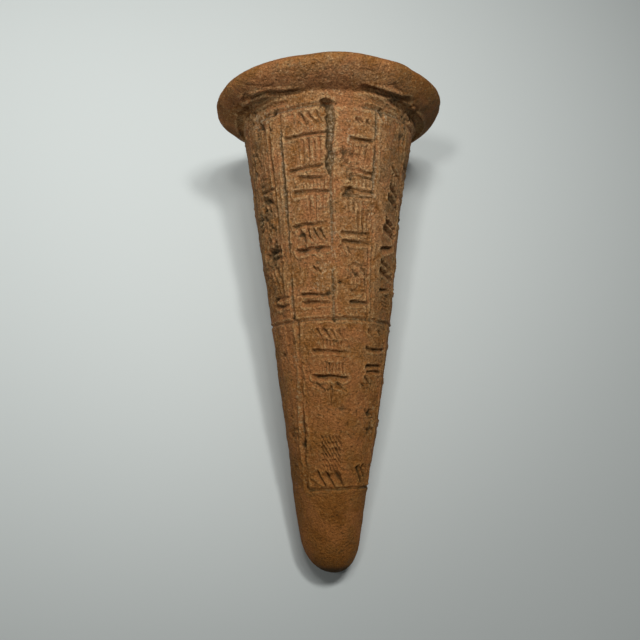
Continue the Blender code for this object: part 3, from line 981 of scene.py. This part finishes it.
def make_mesh(name, corners, quads, triangles):
    """A mesh from its corners and from the corner lists of its faces."""
    mesh = bpy.data.meshes.new(name)
    loops = np.concatenate([quads.ravel(), triangles.ravel()])
    sizes = np.concatenate([np.full(len(quads), 4), np.full(len(triangles), 3)])
    mesh.vertices.add(len(corners))
    mesh.vertices.foreach_set("co", corners.astype(np.float32).ravel())
    mesh.loops.add(len(loops))
    mesh.loops.foreach_set("vertex_index", loops.astype(np.int32))
    mesh.polygons.add(len(sizes))
    mesh.polygons.foreach_set("loop_start", (np.cumsum(sizes) - sizes).astype(np.int32))
    mesh.update(calc_edges=True)
    mesh.validate()
    return mesh


quads, triangles = grid_faces(len(ARC), len(TURN))
fine = make_mesh("clay_skin_fine", np.concatenate([skin, poles]), quads, triangles)
cone = bpy.data.objects.new("clay_skin", fine)
bpy.context.scene.collection.objects.link(cone)
print(len(fine.polygons), "faces before thinning")

# %% [markdown]
# ## Thinning the mesh
# The fine grid has far more faces than anyone needs. Decimate removes the ones that change the
# shape least, so flat stretches lose theirs first and the strokes keep their edges.

# %% Thin the mesh
WANTED_TRIANGLES = 190000
thin = cone.modifiers.new("thin", "DECIMATE")
thin.ratio = min(1.0, WANTED_TRIANGLES / (2 * len(quads) + len(triangles)))
thin.use_collapse_triangulate = True
depsgraph = bpy.context.evaluated_depsgraph_get()
thinned = bpy.data.meshes.new_from_object(cone.evaluated_get(depsgraph))
cone.modifiers.clear()
cone.data = thinned
thinned.shade_smooth()
print(len(thinned.polygons), "faces after thinning")

# %% [markdown]
# ## What the colour needs to know
# Dirt sits in the carving, and handling wore the high places bare; some shade and highlight are
# painted in as well. All of that is known on the fine grid: how deep a place lies below its
# surroundings, how proud it stands and how much painted highlight it gets, whether one of the
# dirty lines runs there, whether it is a dark corner with painted shade, and how much brown film
# and painted shade cover the sides and the point.

# %% Where the dirt and the wear are
hollow = np.clip((soften(relief, 7, 5) - relief - 0.04) / 0.45, 0, 1)
proud_and_lit = np.clip(np.maximum((relief - soften(relief, 6, 5)) / 0.14, lip / 0.22), 0, 1)
proud_and_lit = np.maximum(proud_and_lit, 0.75 * ribs)
# painted light on the middle of the roll under the rim
lit_roll = on_head * (1 - ease(14, 40, np.abs(TURN)))[None, :] * (STATION < RIM)[:, None]
proud_and_lit = np.maximum(proud_and_lit, 0.7 * lit_roll)
dirt = soften(np.clip(0.75 * dirt + 0.25 * hollow, 0, 1), 0.8, 0.8)
nook_shade = soften(nook_shade, 0.4, 0.4)
# painted shade on the sides, which turn away from the lamps, broken up by noise and stronger towards the
# head
side_shade = ease(22, 64, np.abs(TURN + 5))[None, :] * (0.74 + 0.8 * knuckle + 0.5 * crumb)
side_shade = side_shade * (0.75 + 0.40 * upper_height)[:, None]
# on the rim a mottled brown film, with painted shade on its right side
rim_film_and_shade = 0.3 * palm + 0.4 * knuckle - 0.12 + 1.05 * ease(15, 75, TURN)[None, :]
film_and_shade = np.clip((side_shade + 0.5 * palm) * written * (1 - on_head) + on_head * rim_film_and_shade, 0, 1)
# painted shadow on the last millimetres of the point, where it comes down to the floor: here in the
# film, and in the corner shade below
film_and_shade = np.maximum(film_and_shade, (1 - ease(0.5, 7.0, STATION)[:, None]) * np.clip(0.9 + 0.3 * knuckle, 0, 1))
nook_shade = np.maximum(nook_shade, 0.85 * (1 - ease(0.9, 3.4, STATION[:, None] + 0.5 * knuckle)))
print("film on", round(float((film_and_shade > 0.5).mean()) * 100), "% of the grid")

# %% [markdown]
# Pale crusts of earth and lime still hold on in a few places. Each is a soft oval on the grid,
# with its edge broken up by noise.

# %% Pale crusts
# each crust: station, angle, half length and half width in mm, how much
CRUSTS = (
    (112.5, -52.0, 3.0, 5.0, 0.9),
    (111.5, 36.0, 1.8, 2.2, 1.0),
    (104.0, 1.5, 9.0, 1.6, 0.9),
    (72.0, -8.0, 5.0, 2.6, 0.7),
    (94.0, 34.0, 10.0, 1.2, 0.6),
    (106.0, 45.0, 3.5, 3.5, 0.4),
    (96.0, -32.0, 12.0, 1.3, 0.5),
    (80.0, 3.0, 16.0, 0.9, 0.7),
    (104.0, -20.0, 7.0, 6.0, 0.3),
    (106.0, 13.0, 5.0, 0.9, 0.9),
    (78.6, -22.0, 1.5, 5.0, 0.5),
    (50.0, 8.0, 9.0, 5.0, 0.3),
    (42.0, -39.0, 22.0, 1.0, 0.8),
    (36.0, 58.0, 8.0, 0.8, 0.8),
    (48.0, -1.0, 4.0, 0.8, 0.8),
)
crust = np.zeros_like(relief)
for s, angle, long, broad, much in CRUSTS:
    off_a = np.radians(turned(WOBBLY_TURN - angle)) * RADIUS[:, None]
    away = np.hypot((WOBBLY_ARC - arc_at(s)) / long, off_a / broad) + 0.3 * crumb
    crust = np.maximum(crust, much * (1 - ease(0.4, 1.1, away)))
print(len(CRUSTS), "crusts")

# %% [markdown]
# Thinning moved the vertices, so each one finds its own place on the grid from where it lies in
# space, and keeps six numbers there as attributes. A vertex attribute needs no unwrapping and no
# picture, and the material reads it by name.


# %% Write the six numbers on the vertices
def cone_place(mesh):
    """Each vertex's row and column on the fine grid, from where it lies in space."""
    p = np.empty(len(mesh.vertices) * 3, np.float32)
    mesh.vertices.foreach_get("co", p)
    p = p.reshape(-1, 3) * MM_PER_METRE - MOVE
    s = p[:, 1] * math.cos(LIE) + p[:, 2] * math.sin(LIE)
    up = -p[:, 1] * math.sin(LIE) + p[:, 2] * math.cos(LIE)
    right = p[:, 0] - sideways(s)
    r = np.hypot(right, up)
    by_radius = np.interp(-r, -outline_r[TO_RIM:], outline_arc[TO_RIM:])
    by_station = np.interp(s, outline_s, outline_arc)
    arc = np.where(s > RIM + 0.5, by_radius, by_station)
    row = np.clip(np.searchsorted(ARC, arc), 0, len(ARC) - 1)
    col = np.round((np.degrees(np.arctan2(right, up)) + 180) / TURN_STEP).astype(int) % len(TURN)
    return row, col


where = cone_place(thinned)
fields = {"hollow": hollow, "proud_and_lit": proud_and_lit, "dirt": dirt, "nook_shade": nook_shade, "film_and_shade": film_and_shade, "crust": crust}
for name, field in fields.items():
    attribute = thinned.attributes.new(name, "FLOAT", "POINT")
    attribute.data.foreach_set("value", field[where].astype(np.float32))
print("dirt on", round(float((dirt[where] > 0.3).mean()) * 100), "% of the vertices")

# %% [markdown]
# ## Writing a material as sums
# Materials are easier to read as arithmetic than as boxes and wires. A small class holds one
# socket of the node tree, and adding or multiplying two of them adds the Math node that does it.


# %% A socket that can be added and multiplied
class Value:
    """A number that changes over the surface: one output socket of a node tree."""

    def __init__(self, sheet, socket):
        self.sheet, self.socket = sheet, socket

    def _with(self, operation, first, second):
        return self.sheet.node("ShaderNodeMath", {"operation": operation}, {0: first, 1: second})

    def __add__(self, other):
        return self._with("ADD", self, other)

    def __radd__(self, other):
        return self._with("ADD", other, self)

    def __sub__(self, other):
        return self._with("SUBTRACT", self, other)

    def __rsub__(self, other):
        return self._with("SUBTRACT", other, self)

    def __mul__(self, other):
        return self._with("MULTIPLY", self, other)

    def __rmul__(self, other):
        return self._with("MULTIPLY", other, self)


print("sockets can be added, subtracted and multiplied")

# %% [markdown]
# The second class is one material. It has one method that adds any node, and a few short ones for
# what every clay needs: a blend of two colours, a cloudy noise, and a mask between two limits.
# Noise follows the object's own coordinates, so it stays put when the cone is moved.


# %% A material written as a sheet
# the Mix node has sockets of the same name for numbers and colours, so they go by their places
MIX_FACTOR, FIRST_COLOUR, SECOND_COLOUR, MIXED_COLOUR = 0, 6, 7, 2


class Sheet:
    """One material, written as a sheet of nodes."""

    def __init__(self, name):
        self.material = bpy.data.materials.new(name)
        self.material.use_nodes = True
        self.tree = self.material.node_tree
        self.shader = self.tree.nodes["Principled BSDF"]

    def node(self, kind, settings=None, inputs=None, output=0):
        """Adds a node: its settings first, then the values or links of its sockets."""
        made = self.tree.nodes.new(kind)
        for name, value in (settings or {}).items():
            setattr(made, name, value)
        for name, value in (inputs or {}).items():
            self.feed(made.inputs[name], value)
        return Value(self, made.outputs[output])

    def feed(self, socket, value):
        """Gives a socket a link, a colour or a number."""
        if isinstance(value, Value):
            self.tree.links.new(value.socket, socket)
        elif hasattr(value, "__len__") and len(value) == 3 and socket.type == "RGBA":
            socket.default_value = (*value, 1)
        else:
            socket.default_value = value

    def blend(self, mask, first, second):
        """The first colour where the mask is 0 and the second where it is 1."""
        settings = {"data_type": "RGBA", "clamp_factor": True}
        inputs = {MIX_FACTOR: mask, FIRST_COLOUR: first, SECOND_COLOUR: second}
        return self.node("ShaderNodeMix", settings, inputs, output=MIXED_COLOUR)

    def noise(self, size, detail=3.0, roughness=0.6):
        """Cloudy noise with clouds of a size in metres, from 0 to 1."""
        here = self.node("ShaderNodeTexCoord", output="Object")
        inputs = {"Vector": here, "Scale": 1 / size, "Detail": detail, "Roughness": roughness}
        return self.node("ShaderNodeTexNoise", inputs=inputs)

    def between(self, value, low, high):
        """0 where value is below low, 1 above high, and even between them."""
        inputs = {"Value": value, "From Min": low, "From Max": high}
        return self.node("ShaderNodeMapRange", {"clamp": True}, inputs)

    def kept(self, name):
        """One of the numbers kept on the vertices."""
        return self.node("ShaderNodeAttribute", {"attribute_name": name}, output="Fac")


print("a sheet adds any node by its type, its settings and its sockets")

# %% [markdown]
# ## Old fired clay
# The body fired to an orange brown, lighter and warmer on the written part and browner towards
# the point and under the rim. Grey-brown burial dirt fills the carving, pale crumbs of lime sit
# along some edges, and pale sand shows wherever the skin is worn. It has no glaze at all.

# %% The clay's colours
WARM_CLAY = (0.318, 0.138, 0.039)
BROWN_CLAY = (0.218, 0.087, 0.021)
DULL_CLAY = (0.194, 0.096, 0.039)
DUSTY_CLAY = (0.436, 0.240, 0.106)
BURIAL_DIRT = (0.110, 0.080, 0.038)
PALE_DIRT = (0.260, 0.200, 0.115)
# the brown film's colour, also used for painted shade on the sides, the rim's right and the point
FILM_AND_SHADE = (0.110, 0.069, 0.026)
PINK_CLAY = (0.355, 0.148, 0.056)
CRUST = (0.420, 0.320, 0.200)
CREAM_EDGE = (0.540, 0.350, 0.160)
# also the colour of dark grains and of painted shade in hollows and corners
DARK_HOLLOW = (0.050, 0.031, 0.012)
LIME = (0.380, 0.270, 0.160)
SAND = (0.560, 0.365, 0.185)

clay = Sheet("old_fired_clay")
here = clay.node("ShaderNodeTexCoord", output="Object")
along_y = clay.node("ShaderNodeSeparateXYZ", inputs={"Vector": here}, output="Y")
towards_head = clay.between(along_y, -0.062, 0.020)
on_rim = clay.between(along_y, 0.0475, 0.0520)
clouds = clay.noise(0.012, 4.0, 0.65)
mottle = clay.noise(0.0032, 4.0, 0.7)
speckle = clay.noise(0.0008, 3.0, 0.7)
print("the colours change along the cone and in clouds of three sizes")

# %% [markdown]
# The body colour is built up in thin layers, as a painter would glaze it: a warm ground, dust
# towards the head, dull and pink clouds, then worn ribs and edges with painted highlight on them
# and on the roll under the rim, and grains. Each layer is one blend, whose mask says where it goes
# and whose last factor says how strong it is.

# %% The clay's body
body = clay.blend(clay.between(clouds * 0.5 + mottle * 0.5, 0.36, 0.62), BROWN_CLAY, WARM_CLAY)
dusty = towards_head * (1 - on_rim) * clay.between(mottle * 0.5 + speckle * 0.5, 0.40, 0.60)
body = clay.blend(dusty * 0.55, body, DUSTY_CLAY)
body = clay.blend(clay.between(clouds * 0.6 + mottle * 0.4, 0.51, 0.61) * 0.65, body, DULL_CLAY)
body = clay.blend(clay.between(clay.noise(0.007, 3.0, 0.6), 0.46, 0.58) * 0.8, body, PINK_CLAY)
# wear on proud places, and painted highlight on lips, ribs and the roll under the rim
bare_and_lit = clay.kept("proud_and_lit") * clay.between(mottle, 0.35, 0.6)
body = clay.blend(bare_and_lit * 0.65 * (0.3 + 0.7 * towards_head), body, DUSTY_CLAY)
# painted highlight on lips and raised edges
lit_edge = clay.between(clay.kept("proud_and_lit"), 0.80, 1.00) * clay.between(speckle, 0.42, 0.56)
body = clay.blend(lit_edge * 0.50 * towards_head, body, CREAM_EDGE)
grains = clay.between(speckle, 0.57, 0.66) * clay.between(mottle, 0.46, 0.60)
body = clay.blend(grains * 0.62 * (0.15 + 0.85 * towards_head), body, SAND)
dark_grains = clay.between(clay.noise(0.0010, 2.0, 0.5), 0.63, 0.71)
body = clay.blend(dark_grains * 0.60, body, DARK_HOLLOW)
print("the body has", len(clay.tree.nodes), "nodes so far")

# %% [markdown]
# Over the body lie a brown film with painted shade on the sides and at the point, burial dirt in
# the carving, pale crusts and crumbs of lime, and last painted shade in deep hollows and corners.
# It is painted on top of the shadow the mesh casts, because the thinned mesh is too coarse to hold
# the narrowest corners of the strokes.

# %% Dirt, crusts and dark corners
# brown film, and painted shade on the sides, the rim's right and the point
body = clay.blend(clay.kept("film_and_shade") * clay.between(mottle, 0.30, 0.60) * 0.60, body, FILM_AND_SHADE)
old_dirt = clay.blend(clay.between(speckle, 0.50, 0.62), BURIAL_DIRT, PALE_DIRT)
filth = clay.between(clay.kept("dirt") + 0.7 * mottle - 0.35, 0.20, 0.65)
body = clay.blend(filth * 0.65, body, old_dirt)
crumbs = clay.between(clay.kept("crust") * 0.10 + speckle, 0.58, 0.68)
body = clay.blend(crumbs * clay.kept("crust") * 0.60, body, CRUST)
lime = clay.between(clay.kept("dirt"), 0.2, 0.6) * clay.between(clay.noise(0.0009, 3.0, 0.6), 0.54, 0.62)
body = clay.blend(lime * 0.60, body, LIME)
# painted shade in deep hollows
body = clay.blend(clay.between(clay.kept("hollow"), 0.30, 1.00) * 0.45, body, DARK_HOLLOW)
# painted shade in corners, creases, pits, lost flakes and at the point
body = clay.blend(clay.between(clay.kept("nook_shade"), 0.10, 0.75) * 0.85, body, DARK_HOLLOW)
print("with its dirt it has", len(clay.tree.nodes), "nodes")

# %% [markdown]
# Last, a fine grain makes single grains lighter and darker, and the clay turns to ochre towards
# the point. Both are products of colours, so they go through Vector Math.

# %% Grain in the colour, and ochre towards the point
OCHRE = (1.0, 0.89, 0.56)
fine_grain = clay.between(clay.noise(0.00045, 2.0, 0.6), 0.30, 0.70)
strength = 1 + (fine_grain - 0.5) * (0.45 + 0.45 * towards_head * (1 - 0.6 * on_rim))
body = clay.node("ShaderNodeVectorMath", {"operation": "SCALE"}, {0: body, "Scale": strength})
ochre = clay.node("ShaderNodeVectorMath", {"operation": "MULTIPLY"}, {0: body, 1: OCHRE})
body = clay.blend(1 - towards_head * (1 - 0.60 * on_rim), body, ochre)
clay.feed(clay.shader.inputs["Base Color"], body)
print("the clay's colour uses", len(clay.tree.nodes), "nodes")

# %% [markdown]
# The finest grain is too small for the mesh, so it goes into a Bump node: a little raised noise
# that only bends the light. The surface is rough everywhere, and a touch rougher where dirt lies.

# %% The clay's grain
grain = 0.5 * clay.noise(0.00055, 3.0, 0.7) + 0.5 * clay.noise(0.0011, 4.0, 0.75)
bump = clay.node("ShaderNodeBump", inputs={"Strength": 1.0, "Distance": 0.0010, "Height": grain})
clay.feed(clay.shader.inputs["Normal"], bump)
clay.feed(clay.shader.inputs["Roughness"], 0.78 + 0.18 * clay.kept("dirt") + 0.08 * mottle)
clay.shader.inputs["Specular IOR Level"].default_value = 0.12
cone.data.materials.clear()
cone.data.materials.append(clay.material)
print("the whole clay uses", len(clay.tree.nodes), "nodes")

# %% [markdown]
# ## Stand it in for the solid
# The skin takes the place of the solid and rides on its only body. Nothing on a cone moves, so
# there is one body, and the whole skin is one piece with one finish.

# %% Ride on the solid
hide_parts("clay_cone")
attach(cone, "root")
print(cone.name, "stands in for the solid, with", len(cone.data.polygons), "triangles")

# %% [markdown]
# ## Floor
# The cone lies on something plain and pale. A large matt plane is enough: it only has to catch
# the shadows and throw a little light back up at the clay.

# %% Floor
floor_sheet = Sheet("pale_floor")
floor_sheet.shader.inputs["Base Color"].default_value = (0.60, 0.635, 0.615, 1)
floor_sheet.shader.inputs["Roughness"].default_value = 0.95
floor_sheet.shader.inputs["Specular IOR Level"].default_value = 0.2
bpy.ops.mesh.primitive_plane_add(size=3.0, location=(0, 0, 0))
floor = bpy.context.active_object
floor.name = "floor"
floor.data.materials.append(floor_sheet.material)
print("the floor is", round(floor.dimensions.x, 1), "m wide")

# %% [markdown]
# ## Light
# Four small soft lamps hang nearly overhead, 30 to 40 cm above the floor. They differ in aim and
# spread, so the floor darkens towards the viewer and to the right, and the cone's shadows on it
# stay short and soft. A faint sky fills the rest.


# %% Lamps
def soft_lamp(name, start, aim, wide, tall, watts, spread):
    """A rectangular lamp at start that points at aim, with its beam's spread in degrees."""
    data = bpy.data.lights.new(name, "AREA")
    data.shape, data.size, data.size_y = "RECTANGLE", wide, tall
    data.energy, data.spread = watts, math.radians(spread)
    lamp = bpy.data.objects.new(name, data)
    lamp.location = start
    lamp.rotation_euler = (Vector(aim) - Vector(start)).to_track_quat("-Z", "Y").to_euler()
    bpy.context.scene.collection.objects.link(lamp)


soft_lamp("lamp_far_right", (0.073, 0.067, 0.300), (-0.043, -0.017, 0), 0.050, 0.025, 0.101, 96)
soft_lamp("lamp_right", (0.040, 0.080, 0.330), (0.006, 0.116, 0), 0.050, 0.025, 0.125, 142)
soft_lamp("lamp_over", (-0.018, 0.070, 0.345), (-0.015, 0.115, 0), 0.050, 0.040, 0.130, 141)
soft_lamp("lamp_left", (-0.094, -0.030, 0.385), (-0.125, 0.122, 0), 0.040, 0.050, 0.133, 70)
world = bpy.data.worlds.new("soft_room")
world.use_nodes = True
background = world.node_tree.nodes["Background"]
background.inputs["Color"].default_value = (0.95, 0.98, 1.0, 1)
background.inputs["Strength"].default_value = 0.085
bpy.context.scene.world = world
print(len(bpy.data.lights), "lamps and a faint sky")

# %% [markdown]
# ## Camera
# The camera looks steeply down the cone, from above its point, so the head is furthest away. Its
# place and direction were fitted to the cone's outline. Plain display colours keep the tones as
# they were measured.

# %% Camera
bpy.context.scene.view_settings.view_transform = "Standard"
camera_data = bpy.data.cameras.new("camera")
camera_data.sensor_width = 36
camera_data.lens = 37.125
camera = bpy.data.objects.new("camera", camera_data)
looking = Vector((0, 0.31538, -0.94897)).normalized()
turn_to = looking.to_track_quat("-Z", "Y").to_matrix().to_4x4()
camera.matrix_world = Matrix.Translation((-0.00237, -0.05579, 0.18309)) @ turn_to
camera_data.clip_start = 0.005
bpy.context.scene.collection.objects.link(camera)
bpy.context.scene.camera = camera
print("the camera stands", round(camera.matrix_world.translation.z * 100, 1), "cm above the floor")
